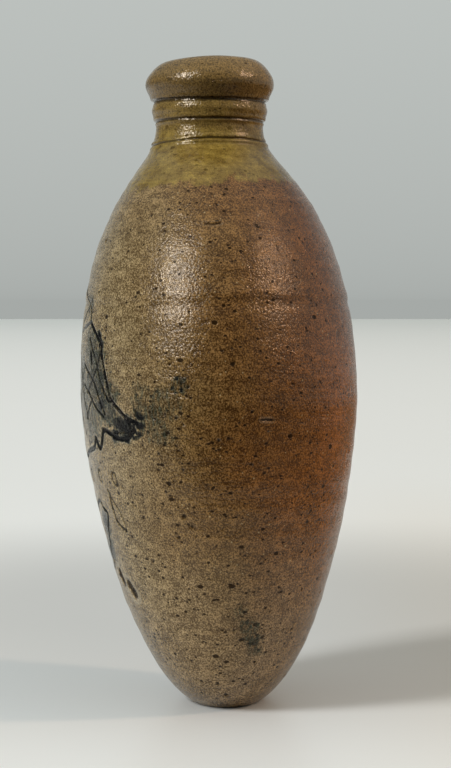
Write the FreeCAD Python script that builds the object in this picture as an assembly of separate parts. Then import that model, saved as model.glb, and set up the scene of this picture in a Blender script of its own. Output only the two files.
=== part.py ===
"""Salt-glazed stoneware flask: thrown round on a wheel, then pressed flat on two sides.

It is one piece of fired clay. The neck stayed round, the body is oval, and the flask stands on
a small oval foot. X runs across the broad faces, -Y is the decorated broad face, and +Z is up.
The origin is the centre of the foot. All sizes are in millimetres.
"""

import math
import os

import FreeCAD
import Part

# Overall size: the body's widest oval, and the neck as far as its foot
HEIGHT = 190.0
NECK_LENGTH = 26.0
BELLY_WIDTH = 118.0
BELLY_DEPTH = 82.1
BELLY_HEIGHT = 92.7

# Foot: a flat oval with a worn edge
FOOT_WIDTH = 33.4
FOOT_DEPTH = 19.4
FOOT_EDGE_HEIGHT = 0.6
FOOT_EDGE_SPREAD = 1.7

# Where the outline heads as it leaves the foot: upwards, and outwards on the two axes
HEEL_RISE = 14.4
HEEL_WIDTH_SPREAD = 28.0
HEEL_DEPTH_SPREAD = 20.6

# How far the outline runs nearly upright, below and above the belly
BELLY_DROP = 16.2
BELLY_RISE = 50.6

# Where the outline comes from as it reaches the neck: from below, and from outside
SHOULDER_DROP = 5.9
SHOULDER_WIDTH_SPREAD = 9.0
SHOULDER_DEPTH_SPREAD = 2.05

# The body leans towards its decorated face, and the neck is set a little further over
LEAN = 3.9
NECK_SET = 1.0

# Neck, measured up from its foot: a band that narrows to the waist, a bead, and a groove
NECK_FOOT_RADIUS = 17.4
WAIST_RISE = 6.4
WAIST_RADIUS = 15.9
BEAD_RISE = 9.9
BEAD_RADIUS = 16.75
COLLAR_GROOVE_RISE = 13.0
COLLAR_GROOVE_WIDTH = 1.1
COLLAR_GROOVE_DEPTH = 0.6

# Two rings cut with a pointed tool: one at the waist, one at the foot of the neck
RING_WIDTH = 1.0
RING_DEPTH = 0.5
SHOULDER_RING_RISE = 0.9

# Collar: a tapered underside, a rounded widest part below the top, and a crown above it
COLLAR_RADIUS = 19.05
COLLAR_DROP = 7.5
COLLAR_TAPER = 26.0
COLLAR_HEEL_RADIUS = 4.0
COLLAR_ROLL_RADIUS = 5.4
COLLAR_ROLL_ANGLE = 30.0
CROWN_LAND = 0.6

# Hollow
WALL = 5.5
FLOOR = 7.0
HOLLOW_HEEL_RISE = 10.5
BORE_RADIUS = 9.5
BORE_LENGTH = 22.0
MOUTH_EDGE_RADIUS = 2.0


def neck_height():
    """The height where the body ends and the neck begins."""
    return HEIGHT - NECK_LENGTH


def neck_axis():
    """Where the neck's upright axis stands in Y."""
    return -(LEAN + NECK_SET)


def bore_bottom():
    """The height where the bore ends and the hollow begins."""
    return HEIGHT - MOUTH_EDGE_RADIUS - BORE_LENGTH


def ring(half_width, half_depth, height):
    """An oval that the smooth form is drawn towards, moved over by the lean at its height."""
    return half_width, half_depth, -LEAN * height / neck_height(), height


def foot_ring():
    """The flat underside's oval, on the ground."""
    return ring(FOOT_WIDTH / 2, FOOT_DEPTH / 2, 0.0)


def heel_ring():
    """The oval above the foot's worn edge, where the body begins."""
    half_width = FOOT_WIDTH / 2 + FOOT_EDGE_SPREAD
    half_depth = FOOT_DEPTH / 2 + FOOT_EDGE_SPREAD
    return ring(half_width, half_depth, FOOT_EDGE_HEIGHT)


def body_rings():
    """The rings of the outer form, from the heel to the neck."""
    heel = heel_ring()
    belly = (BELLY_WIDTH / 2, BELLY_DEPTH / 2)
    shoulder_width = NECK_FOOT_RADIUS + SHOULDER_WIDTH_SPREAD
    shoulder_depth = NECK_FOOT_RADIUS + SHOULDER_DEPTH_SPREAD
    return [
        heel,
        ring(heel[0] + HEEL_WIDTH_SPREAD, heel[1] + HEEL_DEPTH_SPREAD, FOOT_EDGE_HEIGHT + HEEL_RISE),
        ring(*belly, BELLY_HEIGHT - BELLY_DROP),
        ring(*belly, BELLY_HEIGHT),
        ring(*belly, BELLY_HEIGHT + BELLY_RISE),
        ring(shoulder_width, shoulder_depth, neck_height() - SHOULDER_DROP),
        (NECK_FOOT_RADIUS, NECK_FOOT_RADIUS, neck_axis(), neck_height()),
    ]


def floor_half(heel_half, spread):
    """Half of the floor inside, where the outline moved in by the wall reaches the floor's height."""
    length = math.hypot(spread, HEEL_RISE)
    moved_in = heel_half - WALL * HEEL_RISE / length
    moved_up = FOOT_EDGE_HEIGHT + WALL * spread / length
    return moved_in + (FLOOR - moved_up) * spread / HEEL_RISE


def hollow_rings():
    """The rings of the hollow: the outer rings moved in by the wall, closing to the bore."""
    heel = heel_ring()
    floor_width = floor_half(heel[0], HEEL_WIDTH_SPREAD)
    floor_depth = floor_half(heel[1], HEEL_DEPTH_SPREAD)
    belly = (BELLY_WIDTH / 2 - WALL, BELLY_DEPTH / 2 - WALL)
    share = 1 - 2 * WALL / BELLY_DEPTH
    heel_share = HOLLOW_HEEL_RISE / HEEL_RISE
    low = ring(
        floor_width + HEEL_WIDTH_SPREAD * heel_share,
        floor_depth + HEEL_DEPTH_SPREAD * heel_share,
        FLOOR + HOLLOW_HEEL_RISE,
    )
    shoulder_width = NECK_FOOT_RADIUS + SHOULDER_WIDTH_SPREAD - WALL
    shoulder_depth = NECK_FOOT_RADIUS + SHOULDER_DEPTH_SPREAD - WALL
    return [
        ring(floor_width, floor_depth, FLOOR),
        low,
        ring(*belly, BELLY_HEIGHT - BELLY_DROP * share),
        ring(*belly, BELLY_HEIGHT),
        ring(*belly, BELLY_HEIGHT + BELLY_RISE * share),
        ring(shoulder_width, shoulder_depth, neck_height() - SHOULDER_DROP - WALL / 2),
        (BORE_RADIUS, BORE_RADIUS, neck_axis(), bore_bottom()),
    ]


def side_face(rings, degree, ends, knots):
    """A side surface over oval rings: exact ovals across, and curves or straight lines upwards."""
    square = [(1, 0), (1, 1), (0, 1), (-1, 1), (-1, 0), (-1, -1), (0, -1), (1, -1), (1, 0)]
    poles = []
    weights = []
    for place, (across, deep) in enumerate(square):
        poles.append(
            [FreeCAD.Vector(w * across, y + d * deep, height) for w, d, y, height in rings]
        )
        weight = math.sqrt(0.5) if place % 2 else 1.0
        weights.append([weight] * len(rings))
    side = Part.BSplineSurface()
    side.buildFromPolesMultsKnots(
        poles, [3, 2, 2, 2, 3], ends, [0, 1, 2, 3, 4], knots, False, False, 2, degree, weights
    )
    return side.toShape()


def closed(side):
    """A solid inside a side surface, with a flat face at its lowest and its highest oval."""
    faces = [side]
    for edge in side.Edges:
        if edge.BoundBox.ZLength < FOOT_EDGE_HEIGHT / 10:
            faces.append(Part.Face(Part.Wire([edge])))
    shell = Part.makeShell(faces)
    shell.sewShape()
    return Part.makeSolid(shell)


def banded(rings):
    """A solid with a straight side between two rings."""
    return closed(side_face(rings, 1, [2, 2], [0, 1]))


def curved(rings):
    """A solid over seven rings, with two cubic curves upwards that meet smoothly at the belly."""
    return closed(side_face(rings, 3, [4, 3, 4], [0, 1, 2]))


def turned(edges):
    """A solid turned around the neck's axis from a closed outline of (radius, height) edges."""
    face = Part.Face(Part.Wire(edges))
    axis = FreeCAD.Vector(0, neck_axis(), 0)
    face.translate(axis)
    return face.revolve(axis, FreeCAD.Vector(0, 0, 1), 360)


def at(radius, height):
    """A point of a turned outline, drawn in the XZ plane."""
    return FreeCAD.Vector(radius, 0, height)


def lines(*points):
    """Straight edges through the points."""
    edges = []
    for start, end in zip(points, points[1:]):
        edges.append(Part.LineSegment(at(*start), at(*end)).toShape())
    return edges


def arc(start, through, end):
    """One round edge."""
    return Part.Arc(at(*start), at(*through), at(*end)).toShape()


def on_arc(centre, radius, angle):
    """The point of an arc at an angle above the horizontal."""
    turn = math.radians(angle)
    return centre[0] + radius * math.cos(turn), centre[1] + radius * math.sin(turn)


def arc_onwards(start, angle, end):
    """A round edge that carries on smoothly from an arc that ends at an angle."""
    inwards = on_arc((0, 0), -1, angle)
    step = (end[0] - start[0], end[1] - start[1])
    reach = 2 * (step[0] * inwards[0] + step[1] * inwards[1])
    radius = (step[0] ** 2 + step[1] ** 2) / reach
    centre = (start[0] + radius * inwards[0], start[1] + radius * inwards[1])
    end_angle = math.degrees(math.atan2(end[1] - centre[1], end[0] - centre[0]))
    return arc(start, on_arc(centre, radius, (angle + end_angle) / 2), end)


def neck():
    """The round neck: a narrowing band with two cut rings, a bead, a groove and the collar."""
    base = neck_height()
    half_ring = RING_WIDTH / 2
    ring_height = base + SHOULDER_RING_RISE
    waist_height = base + WAIST_RISE
    slope = (WAIST_RADIUS - NECK_FOOT_RADIUS) / (WAIST_RISE - half_ring)
    ring_bottom = NECK_FOOT_RADIUS + slope * (SHOULDER_RING_RISE - half_ring)
    ring_top = NECK_FOOT_RADIUS + slope * (SHOULDER_RING_RISE + half_ring)
    waist_top = (WAIST_RADIUS, waist_height + half_ring)
    groove_height = base + COLLAR_GROOVE_RISE
    groove_top = groove_height + COLLAR_GROOVE_WIDTH / 2
    bead_top = (BEAD_RADIUS - COLLAR_GROOVE_DEPTH / 3, groove_height - COLLAR_GROOVE_WIDTH / 2)
    widest = (COLLAR_RADIUS, HEIGHT - COLLAR_DROP)
    heel = (COLLAR_RADIUS - COLLAR_HEEL_RADIUS, widest[1])
    heel_end = on_arc(heel, COLLAR_HEEL_RADIUS, -COLLAR_TAPER)
    taper = math.tan(math.radians(COLLAR_TAPER))
    collar_foot = (heel_end[0] - (heel_end[1] - groove_top) * taper, groove_top)
    roll = (COLLAR_RADIUS - COLLAR_ROLL_RADIUS, widest[1])
    roll_end = on_arc(roll, COLLAR_ROLL_RADIUS, COLLAR_ROLL_ANGLE)
    crown = (BORE_RADIUS + MOUTH_EDGE_RADIUS + CROWN_LAND, HEIGHT)
    return turned(
        [
            *lines(
                (0, base),
                (NECK_FOOT_RADIUS, base),
                (ring_bottom, ring_height - half_ring),
                ((ring_bottom + ring_top) / 2 - RING_DEPTH, ring_height),
                (ring_top, ring_height + half_ring),
                (WAIST_RADIUS, waist_height - half_ring),
                (WAIST_RADIUS - RING_DEPTH, waist_height),
                waist_top,
            ),
            arc(waist_top, (BEAD_RADIUS, base + BEAD_RISE), bead_top),
            *lines(
                bead_top,
                (bead_top[0] - COLLAR_GROOVE_DEPTH, groove_height),
                collar_foot,
                heel_end,
            ),
            arc(heel_end, on_arc(heel, COLLAR_HEEL_RADIUS, -COLLAR_TAPER / 2), widest),
            arc(widest, on_arc(roll, COLLAR_ROLL_RADIUS, COLLAR_ROLL_ANGLE / 2), roll_end),
            arc_onwards(roll_end, COLLAR_ROLL_ANGLE, crown),
            *lines(crown, (0, HEIGHT), (0, base)),
        ]
    )


def bore():
    """The cork's seat: a plain bore with a rounded mouth."""
    bottom = bore_bottom()
    seat_top = (BORE_RADIUS, HEIGHT - MOUTH_EDGE_RADIUS)
    mouth = (BORE_RADIUS + MOUTH_EDGE_RADIUS, HEIGHT)
    centre = (mouth[0], seat_top[1])
    return turned(
        [
            *lines((0, bottom), (BORE_RADIUS, bottom), seat_top),
            arc(seat_top, on_arc(centre, MOUTH_EDGE_RADIUS, 135), mouth),
            *lines(mouth, (0, HEIGHT), (0, bottom)),
        ]
    )


def flask():
    """The whole flask as one solid."""
    foot = banded([foot_ring(), heel_ring()])
    clay = curved(body_rings()).fuse([foot, neck()])
    return clay.cut([curved(hollow_rings()), bore()]).Solids[0]


def main():
    os.makedirs("parts", exist_ok=True)
    solid = flask()
    solid.exportStep("parts/flask.step")
    box = solid.BoundBox
    print("valid", solid.isValid(), "volume_cm3", round(solid.Volume / 1000, 1))
    print("box", [round(v, 2) for v in (box.XMin, box.YMin, box.ZMin, box.XMax, box.YMax, box.ZMax)])


main()
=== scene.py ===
import math
import random
from collections import namedtuple

import bpy
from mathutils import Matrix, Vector, noise
from mathutils.kdtree import KDTree


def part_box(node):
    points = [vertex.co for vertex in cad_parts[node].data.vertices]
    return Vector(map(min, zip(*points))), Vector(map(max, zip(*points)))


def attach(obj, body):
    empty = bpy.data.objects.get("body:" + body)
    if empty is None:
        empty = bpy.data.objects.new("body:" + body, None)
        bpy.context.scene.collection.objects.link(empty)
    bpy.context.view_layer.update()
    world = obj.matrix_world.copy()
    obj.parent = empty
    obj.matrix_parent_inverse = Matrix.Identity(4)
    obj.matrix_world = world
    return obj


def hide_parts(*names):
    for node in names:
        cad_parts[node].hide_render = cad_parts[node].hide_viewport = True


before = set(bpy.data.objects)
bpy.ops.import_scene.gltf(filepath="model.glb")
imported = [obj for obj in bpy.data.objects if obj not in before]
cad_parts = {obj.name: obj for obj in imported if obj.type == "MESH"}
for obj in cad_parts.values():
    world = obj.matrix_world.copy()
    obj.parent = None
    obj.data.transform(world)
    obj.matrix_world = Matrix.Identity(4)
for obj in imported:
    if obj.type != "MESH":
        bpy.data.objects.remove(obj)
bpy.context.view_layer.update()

# A salt-glazed stoneware flask, thrown round on a wheel and pressed flat on its two broad faces.
# +Z is up along the neck, -Y is the decorated broad face, and the narrow side looks along +X.
# Lengths are in metres.

LOW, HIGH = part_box("flask")
HEIGHT = HIGH.z
BELLY_HALF_WIDTH = HIGH.x
BELLY_HALF_DEPTH = (HIGH.y - LOW.y) / 2
BELLY_HEIGHT = 0.0927

# Foot, and the way the outline leaves it
FOOT_HALF_WIDTH = 0.0162
FOOT_HALF_DEPTH = 0.0092
HEEL_HALF_WIDTH = 0.0184
HEEL_HALF_DEPTH = 0.0114
HEEL_HEIGHT = 0.0006
HEEL_RISE = 0.0144
HEEL_WIDTH_SPREAD = 0.0280
HEEL_DEPTH_SPREAD = 0.0206
UNDERSIDE_HOLLOW = 0.0003

# How far the outline runs nearly upright at the belly, and how it comes to the neck
BELLY_DROP = 0.0162
BELLY_RISE = 0.0506
SHOULDER_DROP = 0.0059
SHOULDER_WIDTH_SPREAD = 0.0090
SHOULDER_DEPTH_SPREAD = 0.00205
LEAN = 0.0039
NECK_SET = 0.0010

# Neck and collar
NECK_LENGTH = 0.0260
NECK_HEIGHT = HEIGHT - NECK_LENGTH
NECK_AXIS = -(LEAN + NECK_SET)
NECK_FOOT_RADIUS = 0.0174
WAIST_RISE = 0.0064
WAIST_RADIUS = 0.0159
BEAD_RISE = 0.0099
BEAD_RADIUS = 0.01675
BEAD_TOP_RISE = 0.01245
BEAD_TOP_RADIUS = 0.01655
COLLAR_FOOT_RISE = 0.01355
COLLAR_RADIUS = 0.01905
COLLAR_DROP = 0.0075
COLLAR_TAPER = math.radians(26)
COLLAR_HEEL_RADIUS = 0.0040
COLLAR_ROLL_RADIUS = 0.0054
COLLAR_ROLL_ANGLE = math.radians(30)
CROWN_LAND = 0.0006

# Hollow
WALL = 0.0055
FLOOR = 0.0070
HOLLOW_HEEL_RISE = 0.0105
BORE_RADIUS = 0.0095
BORE_LENGTH = 0.0220
MOUTH_EDGE_RADIUS = 0.0020
BORE_BOTTOM = HEIGHT - MOUTH_EDGE_RADIUS - BORE_LENGTH

# How finely the skin is thrown
POINTS_AROUND = 176
FOOT_SHARES = (0.12, 0.3, 0.5, 0.7, 0.82, 0.91, 1.0)
HEEL_STEPS = 5
LOWER_STEPS = 98
UPPER_STEPS = 78
NECK_STEP = 0.00033
CROWN_STEPS = 20
BORE_STEPS = 5
HOLLOW_UPPER_STEPS = 10
HOLLOW_LOWER_STEPS = 12
FLOOR_SHARES = (0.7, 0.4, 0.15)

Ring = namedtuple("Ring", "half_width half_depth middle height")


def leaning(half_width, half_depth, height):
    """An oval ring, moved over by the body's lean at its height."""
    return Ring(half_width, half_depth, -LEAN * height / NECK_HEIGHT, height)


def round_ring(radius, height):
    """A round ring on the neck's own axis."""
    return Ring(radius, radius, NECK_AXIS, height)


def between(start, end, steps):
    """Rings on a straight side, without the first."""
    rings = []
    for step in range(1, steps + 1):
        share = step / steps
        rings.append(Ring(*[a + (b - a) * share for a, b in zip(start, end)]))
    return rings


def curved(controls, steps):
    """Rings on a smooth side drawn by three or four control rings, without the first."""
    degree = len(controls) - 1
    rings = []
    for step in range(1, steps + 1):
        share = step / steps
        sums = [0.0] * len(controls[0])
        for place, control in enumerate(controls):
            weight = math.comb(degree, place) * share ** place * (1 - share) ** (degree - place)
            sums = [total + weight * value for total, value in zip(sums, control)]
        rings.append(Ring(*sums))
    return rings


def underside_rings():
    """The flat foot from near its centre outwards, hollowed a little, and its worn edge."""
    rings = []
    for share in FOOT_SHARES:
        hollow = UNDERSIDE_HOLLOW * (1 - share ** 4)
        rings.append(leaning(FOOT_HALF_WIDTH * share, FOOT_HALF_DEPTH * share, hollow))
    slope = HEEL_HEIGHT / HEEL_RISE
    corner = leaning(
        HEEL_HALF_WIDTH - HEEL_WIDTH_SPREAD * slope, HEEL_HALF_DEPTH - HEEL_DEPTH_SPREAD * slope, 0
    )
    return rings + curved([rings[-1], corner, HEEL], HEEL_STEPS)


HEEL = leaning(HEEL_HALF_WIDTH, HEEL_HALF_DEPTH, HEEL_HEIGHT)
BELLY = leaning(BELLY_HALF_WIDTH, BELLY_HALF_DEPTH, BELLY_HEIGHT)
NECK_FOOT = round_ring(NECK_FOOT_RADIUS, NECK_HEIGHT)


def body_rings():
    """The body from the heel through the belly to the foot of the neck."""
    heel_pull = leaning(
        HEEL_HALF_WIDTH + HEEL_WIDTH_SPREAD, HEEL_HALF_DEPTH + HEEL_DEPTH_SPREAD, HEEL_HEIGHT + HEEL_RISE
    )
    belly_below = leaning(BELLY_HALF_WIDTH, BELLY_HALF_DEPTH, BELLY_HEIGHT - BELLY_DROP)
    belly_above = leaning(BELLY_HALF_WIDTH, BELLY_HALF_DEPTH, BELLY_HEIGHT + BELLY_RISE)
    shoulder = leaning(
        NECK_FOOT_RADIUS + SHOULDER_WIDTH_SPREAD,
        NECK_FOOT_RADIUS + SHOULDER_DEPTH_SPREAD,
        NECK_HEIGHT - SHOULDER_DROP,
    )
    lower = curved([HEEL, heel_pull, belly_below, BELLY], LOWER_STEPS)
    return lower + curved([BELLY, belly_above, shoulder, NECK_FOOT], UPPER_STEPS)


def arc_rings(centre_radius, centre_height, radius, start, end):
    """Round rings on an arc in the neck's section, from one angle to another."""
    steps = max(2, round(abs(end - start) * radius / NECK_STEP))
    rings = []
    for step in range(1, steps + 1):
        angle = start + (end - start) * step / steps
        rings.append(
            round_ring(centre_radius + radius * math.cos(angle), centre_height + radius * math.sin(angle))
        )
    return rings


def neck_rings():
    """The neck from its foot to the mouth: band, bead, taper, roll and crown, before rings are cut."""
    def straight(start, radius, height):
        """Rings on a straight side, close enough for the cut rings."""
        end = round_ring(radius, height)
        length = math.hypot(radius - start.half_width, height - start.height)
        return between(start, end, max(1, round(length / NECK_STEP)))

    rings = straight(NECK_FOOT, WAIST_RADIUS, NECK_HEIGHT + WAIST_RISE)
    bead_pull = round_ring(
        2 * BEAD_RADIUS - (WAIST_RADIUS + BEAD_TOP_RADIUS) / 2, NECK_HEIGHT + BEAD_RISE
    )
    bead_top = round_ring(BEAD_TOP_RADIUS, NECK_HEIGHT + BEAD_TOP_RISE)
    rings += curved([rings[-1], bead_pull, bead_top], round((BEAD_TOP_RISE - WAIST_RISE) / NECK_STEP))
    widest = HEIGHT - COLLAR_DROP
    heel_radius = COLLAR_RADIUS - COLLAR_HEEL_RADIUS
    taper_end = heel_radius + COLLAR_HEEL_RADIUS * math.cos(COLLAR_TAPER)
    taper_top = widest - COLLAR_HEEL_RADIUS * math.sin(COLLAR_TAPER)
    foot_height = NECK_HEIGHT + COLLAR_FOOT_RISE
    foot_radius = taper_end - (taper_top - foot_height) * math.tan(COLLAR_TAPER)
    rings += straight(rings[-1], foot_radius, foot_height)
    rings += straight(rings[-1], taper_end, taper_top)
    rings += arc_rings(heel_radius, widest, COLLAR_HEEL_RADIUS, -COLLAR_TAPER, 0)
    roll_middle = COLLAR_RADIUS - COLLAR_ROLL_RADIUS
    rings += arc_rings(roll_middle, widest, COLLAR_ROLL_RADIUS, 0, COLLAR_ROLL_ANGLE)
    roll_end = rings[-1]
    crown_radius = BORE_RADIUS + MOUTH_EDGE_RADIUS + CROWN_LAND
    reach = (HEIGHT - roll_end.height) * math.tan(COLLAR_ROLL_ANGLE)
    crown_pull = round_ring(roll_end.half_width - reach, HEIGHT)
    rings += curved([roll_end, crown_pull, round_ring(crown_radius, HEIGHT)], CROWN_STEPS)
    rings += straight(rings[-1], BORE_RADIUS + MOUTH_EDGE_RADIUS, HEIGHT)
    mouth_height = HEIGHT - MOUTH_EDGE_RADIUS
    return rings + arc_rings(
        BORE_RADIUS + MOUTH_EDGE_RADIUS, mouth_height, MOUTH_EDGE_RADIUS, math.pi / 2, math.pi
    )


def hollow_rings():
    """The bore, and the hollow below it: the outside moved in by the wall, down to the floor."""
    def floor_half(heel_half, spread):
        """The floor's half width or depth, where the wall that was moved in meets the floor."""
        length = math.hypot(spread, HEEL_RISE)
        moved_in = heel_half - WALL * HEEL_RISE / length
        return moved_in + (FLOOR - HEEL_HEIGHT - WALL * spread / length) * spread / HEEL_RISE

    throat = round_ring(BORE_RADIUS, BORE_BOTTOM)
    bore = between(round_ring(BORE_RADIUS, HEIGHT - MOUTH_EDGE_RADIUS), throat, BORE_STEPS)
    floor_width = floor_half(HEEL_HALF_WIDTH, HEEL_WIDTH_SPREAD)
    floor_depth = floor_half(HEEL_HALF_DEPTH, HEEL_DEPTH_SPREAD)
    inner_width = BELLY_HALF_WIDTH - WALL
    inner_depth = BELLY_HALF_DEPTH - WALL
    share = inner_depth / BELLY_HALF_DEPTH
    heel_share = HOLLOW_HEEL_RISE / HEEL_RISE
    shoulder = leaning(
        NECK_FOOT_RADIUS + SHOULDER_WIDTH_SPREAD - WALL,
        NECK_FOOT_RADIUS + SHOULDER_DEPTH_SPREAD - WALL,
        NECK_HEIGHT - SHOULDER_DROP - WALL / 2,
    )
    above = leaning(inner_width, inner_depth, BELLY_HEIGHT + BELLY_RISE * share)
    belly = leaning(inner_width, inner_depth, BELLY_HEIGHT)
    below = leaning(inner_width, inner_depth, BELLY_HEIGHT - BELLY_DROP * share)
    heel = leaning(
        floor_width + HEEL_WIDTH_SPREAD * heel_share,
        floor_depth + HEEL_DEPTH_SPREAD * heel_share,
        FLOOR + HOLLOW_HEEL_RISE,
    )
    floor = leaning(floor_width, floor_depth, FLOOR)
    rings = bore + curved([throat, shoulder, above, belly], HOLLOW_UPPER_STEPS)
    rings += curved([belly, below, heel, floor], HOLLOW_LOWER_STEPS)
    for part in FLOOR_SHARES:
        rings.append(leaning(floor_width * part, floor_depth * part, FLOOR))
    return rings


def thrown(name, rings):
    """A closed skin pulled up ring by ring, as on the wheel, and closed at its two middles."""
    first = rings[0]
    bpy.ops.object.select_all(action="DESELECT")
    bpy.ops.mesh.primitive_circle_add(
        vertices=POINTS_AROUND, radius=first.half_width, location=(0, first.middle, first.height)
    )
    piece = bpy.context.object
    piece.name = name
    piece.data.name = name
    bpy.ops.object.mode_set(mode="EDIT")
    squeeze = (1, first.half_depth / first.half_width, 1)
    bpy.ops.transform.resize(value=squeeze, center_override=(0, first.middle, first.height))
    for before, after in zip(rings, rings[1:]):
        step = (0, after.middle - before.middle, after.height - before.height)
        bpy.ops.mesh.extrude_edges_move(TRANSFORM_OT_translate={"value": step})
        growth = (after.half_width / before.half_width, after.half_depth / before.half_depth, 1)
        bpy.ops.transform.resize(value=growth, center_override=(0, after.middle, after.height))
    bpy.ops.mesh.extrude_edges_move(TRANSFORM_OT_translate={"value": (0, 0, 0)})
    bpy.ops.mesh.merge(type="CENTER")
    bpy.ops.mesh.select_all(action="DESELECT")
    bpy.ops.object.mode_set(mode="OBJECT")
    for point in piece.data.vertices[:POINTS_AROUND]:
        point.select = True
    bpy.ops.object.mode_set(mode="EDIT")
    bpy.ops.mesh.merge(type="CENTER")
    bpy.ops.mesh.select_all(action="SELECT")
    bpy.ops.mesh.normals_make_consistent(inside=False)
    bpy.ops.object.mode_set(mode="OBJECT")
    bpy.ops.object.transform_apply(location=True, rotation=True, scale=True)
    bpy.ops.object.shade_smooth()
    return piece


def girth(height):
    """The body's outer oval at a height."""
    rings = OUTSIDE
    place = 0
    while place < len(rings) - 2 and rings[place + 1].height < height:
        place += 1
    below, above = rings[place], rings[place + 1]
    share = (height - below.height) / (above.height - below.height)
    return Ring(*[a + (b - a) * share for a, b in zip(below, above)])


def on_front(across, height):
    """The point of the decorated broad face at a distance across and a height."""
    oval = girth(height)
    share = min(1.0, abs(across) / oval.half_width)
    return Vector((across, oval.middle - oval.half_depth * math.sqrt(1 - share ** 2), height))


def on_side(deep, height):
    """The point of the narrow side at a place in Y and a height."""
    oval = girth(height)
    share = min(1.0, abs(deep - oval.middle) / oval.half_depth)
    return Vector((oval.half_width * math.sqrt(1 - share ** 2), deep, height))


# How closely the points of a drawn line follow each other
LINE_SPACING = 0.00025


def smooth_line(points):
    """Closely spaced points on a smooth line that passes through a few given ones."""
    line = []
    for place in range(len(points) - 1):
        start, end = points[place], points[place + 1]
        before = points[max(place - 1, 0)]
        after = points[min(place + 2, len(points) - 1)]
        start_pull = [(e - b) / 2 for e, b in zip(end, before)]
        end_pull = [(a - s) / 2 for a, s in zip(after, start)]
        steps = max(2, round(math.dist(start, end) / LINE_SPACING))
        for step in range(steps):
            t = step / steps
            line.append(
                tuple(
                    s * (2 * t ** 3 - 3 * t ** 2 + 1)
                    + sp * (t ** 3 - 2 * t ** 2 + t)
                    + e * (3 * t ** 2 - 2 * t ** 3)
                    + ep * (t ** 3 - t ** 2)
                    for s, e, sp, ep in zip(start, end, start_pull, end_pull)
                )
            )
    line.append(points[-1])
    return line


def ease(share):
    """A share held between 0 and 1, with soft ends."""
    share = max(0.0, min(1.0, share))
    return share * share * (3 - 2 * share)


def push(piece, shift, furthest, direction="NORMAL"):
    """Moves the surface outwards or inwards by shift(place), in metres and within the furthest."""
    shifts = [shift(point.co) for point in piece.data.vertices]
    for side in (1, -1):
        group = piece.vertex_groups.new(name="push")
        for number, value in enumerate(shifts):
            if side * value > 0:
                group.add([number], min(1.0, side * value / furthest), "REPLACE")
        move = piece.modifiers.new("push", "DISPLACE")
        move.vertex_group = group.name
        move.mid_level = 0
        move.strength = side * furthest
        move.direction = direction
        bpy.context.view_layer.objects.active = piece
        bpy.ops.object.modifier_apply(modifier=move.name)
        piece.vertex_groups.clear()


def refine(piece, is_near, divisions):
    """Divides the faces that lie near a place, so that fine marks can be cut there."""
    bpy.ops.object.mode_set(mode="EDIT")
    bpy.ops.mesh.select_mode(type="FACE")
    bpy.ops.mesh.select_all(action="DESELECT")
    bpy.ops.object.mode_set(mode="OBJECT")
    for face in piece.data.polygons:
        face.select = is_near(face.center)
    bpy.ops.object.mode_set(mode="EDIT")
    bpy.ops.mesh.subdivide(number_cuts=divisions, smoothness=1)
    bpy.ops.mesh.select_all(action="DESELECT")
    bpy.ops.mesh.select_mode(type="VERT")
    bpy.ops.object.mode_set(mode="OBJECT")


def paint(piece, name, weigh):
    """Keeps a weight at each point of the surface, for the glaze to read."""
    layer = piece.data.attributes.new(name, "FLOAT", "POINT")
    layer.data.foreach_set("value", [weigh(point.co) for point in piece.data.vertices])


# Marks of the maker's hands and of the wheel, all so low that the outline stays the measured one:
# a slow wobble that fades towards the foot and the neck, and even throwing lines that drift a little
WOBBLE = 0.00035
WOBBLE_SIZE = 0.026
FOOT_STILL_HEIGHT = 0.004
FOOT_STILL_FADE = 0.020
NECK_STILL_HEIGHT = 0.158
NECK_STILL_FADE = 0.006
NECK_STILLNESS = 0.75
THROWING_STEP = 0.0074
THROWING_RISE = 0.00005
THROWING_DRIFT = 0.8
THROWING_DRIFT_LENGTH = 1 / 45

# Single throwing ridges: height, rise, half width. They sway up and down on their way round.
RIDGE_SWAY = 0.0010
RIDGE_SWAY_LENGTH = 1 / 22
RIDGES = [
    (0.1535, 0.00016, 0.0010), (0.1470, 0.00018, 0.0012), (0.1424, -0.00016, 0.0010),
    (0.1203, 0.00024, 0.0011), (0.1178, -0.00020, 0.0011), (0.0880, 0.00008, 0.0014),
    (0.0640, -0.00008, 0.0014), (0.0300, 0.00008, 0.0014),
]

# How deep the collar's crown dips towards the decorated face, and where the dip begins
CROWN_DIP = 0.0008
CROWN_DIP_PLACE = 0.004
CROWN_DIP_HEIGHT = 0.180
CROWN_DIP_FADE = 0.009

# Rings cut round the neck with a pointed tool. Each has its height over the neck's foot, how far
# it sways and tilts round the neck, its half width and its depth.
NeckRing = namedtuple("NeckRing", "rise sway tilt half_width depth")
NECK_RINGS = [
    NeckRing(0.00136, 0.00049, 0.00053, 0.00030, 0.00032),
    NeckRing(0.00745, 0.00010, 0.00000, 0.00042, 0.00034),
    NeckRing(0.01320, -0.00010, 0.00000, 0.00062, 0.00050),
]
# The heights over the neck's foot between which rings lie, and how each wanders in its own way
RINGS_LOW = -0.002
RINGS_HIGH = 0.016
RING_WANDER = 0.00016
WANDER_AROUND = 6
WANDER_BETWEEN_RINGS = 900
# The hollow of the band between the lower two rings, which is deepest low down
BAND_LOW = 0.0012
BAND_HIGH = 0.0072
BAND_HOLLOW = 0.00045
BAND_HOLLOW_LOWNESS = 0.6
# The lips that stand up on both sides of a ring, and the bead above the band
LIP_RISE = 0.00016
LIP_DISTANCE = 0.00085
LIP_HALF_WIDTH = 0.00045
BEAD_BULGE = 0.00032
BEAD_CREST = 0.0108
BEAD_HALF_WIDTH = 0.0013
# How far dark glaze pools from the middle of a ring, in its half widths
POOL_REACH = 1.5
# The skin lies outside this share of the body's oval, and the hollow inside it
SKIN_SHARE = 0.95


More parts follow.
